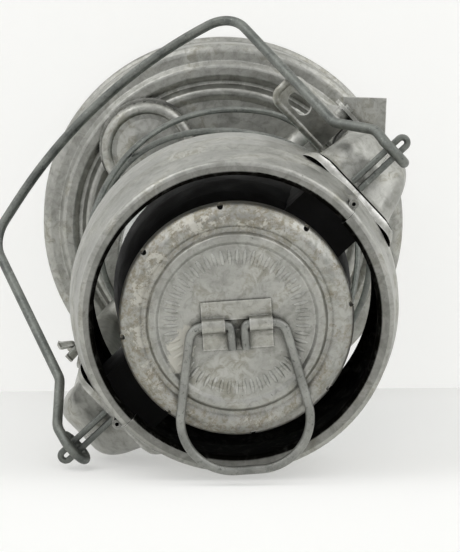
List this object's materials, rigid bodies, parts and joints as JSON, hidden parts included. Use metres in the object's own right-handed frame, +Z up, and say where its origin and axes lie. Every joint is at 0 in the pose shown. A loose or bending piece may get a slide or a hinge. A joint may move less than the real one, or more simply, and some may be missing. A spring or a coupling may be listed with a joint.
{
  "type": "hurricane lantern",
  "caption": "Cold-blast hurricane lantern: oil tank, side air tubes, glass globe on a lever-raised plate, guard wires, sprung hood with lift ring, and a swinging wire bail.",
  "frame": {"origin": "middle of the tank's foot, on the surface that the lantern stands on", "axes": "+Z up along the globe's axis, -Y towards the filler cap, +X towards the wick knob, -X towards the globe lever"},
  "size_m": [0.1583, 0.1488, 0.2555],
  "materials": {
    "brass": "tarnished brass",
    "cork": "pressed cork",
    "cotton": "woven cotton wick",
    "glass": "clear blown glass",
    "sooty_sheet": "soot-blackened steel sheet",
    "spring_steel": "blued spring steel",
    "tin_sheet": "weathered tinned steel sheet",
    "wire": "dull zinc-plated wire"
  },
  "bodies": {
    "frame": {"tank_body": "tin_sheet", "tank_base": "tin_sheet", "filler_neck": "brass", "burner_collar": "brass", "burner_body": "brass", "burner_cone": "brass", "wick_tube": "brass", "air_chamber": "tin_sheet", "tube_left": "tin_sheet", "tube_right": "tin_sheet", "crown_front": "tin_sheet", "crown_rear": "tin_sheet", "chimney": "sooty_sheet", "air_box_left": "sooty_sheet", "air_box_right": "sooty_sheet", "eye_left": "wire", "eye_right": "wire", "lever_bracket": "tin_sheet", "hood_spring": "spring_steel"},
    "filler_washer": {"filler_gasket": "cork"},
    "filler_cap": {"filler_cap": "tin_sheet"},
    "carriage": {"globe_plate": "tin_sheet", "guard_wire_inner": "wire", "guard_wire_outer": "wire", "globe": "glass"},
    "hood": {"globe_seat": "sooty_sheet", "hood_flue": "sooty_sheet", "hood_cap": "tin_sheet", "ring_strap": "tin_sheet"},
    "lift_ring": {"lift_ring": "wire"},
    "bail": {"bail": "wire"},
    "lift_lever": {"lift_lever": "tin_sheet", "lever_shaft": "wire", "lever_crank": "tin_sheet"},
    "wick_gear": {"wick_shaft": "wire", "wick_spurs": "brass", "wick_knob": "tin_sheet"},
    "wick": {"wick": "cotton"}
  },
  "joints": [
    {"name": "filler_lift", "type": "slide", "parent": "frame", "child": "filler_washer", "axis": [0, 0, 1], "range_m": [0, 0.009]},
    {"name": "filler_turn", "type": "hinge", "parent": "filler_washer", "child": "filler_cap", "pos_m": [0, -0.0438, 0.045], "axis": [0, 0, 1], "range_deg": [-1, 721]},
    {"name": "globe_lift", "type": "slide", "parent": "frame", "child": "carriage", "axis": [0, 0, 1], "range_m": [0, 0.014], "deforming": ["hood_spring"]},
    {"name": "lever_turn", "type": "hinge", "parent": "frame", "child": "lift_lever", "pos_m": [-0.0605, -0.015, 0.172], "axis": [1, 0, 0], "range_deg": [-0.5, 47.76]},
    {"name": "hood_lift", "type": "slide", "parent": "carriage", "child": "hood", "axis": [0, 0, 1], "range_m": [0, 0.012], "stiffness_N_per_m": 250, "springref_m": -0.02, "deforming": ["hood_spring"]},
    {"name": "ring_flip", "type": "hinge", "parent": "hood", "child": "lift_ring", "pos_m": [0.00025, 0.00031, 0.25325], "axis": [0.7716, -0.6361, 0], "range_deg": [0, 175]},
    {"name": "bail_swing", "type": "hinge", "parent": "frame", "child": "bail", "pos_m": [0, -0.001, 0.2176], "axis": [-1, 0, 0], "range_deg": [0, 230]},
    {"name": "wick_turn", "type": "hinge", "parent": "frame", "child": "wick_gear", "pos_m": [0, -0.006, 0.05], "axis": [1, 0, 0], "range_deg": [-50.5, 63]},
    {"name": "wick_slide", "type": "slide", "parent": "frame", "child": "wick", "axis": [0, 0, 1], "range_m": [-0.004, 0.005]}
  ],
  "couplings": [
    {"joint": "filler_turn", "follows": "filler_lift", "rad_per_m": 1396.3},
    {"joint": "lever_turn", "follows": "globe_lift", "rad_per_m": 58.916},
    {"joint": "wick_turn", "follows": "wick_slide", "rad_per_m": 217.39}
  ]
}
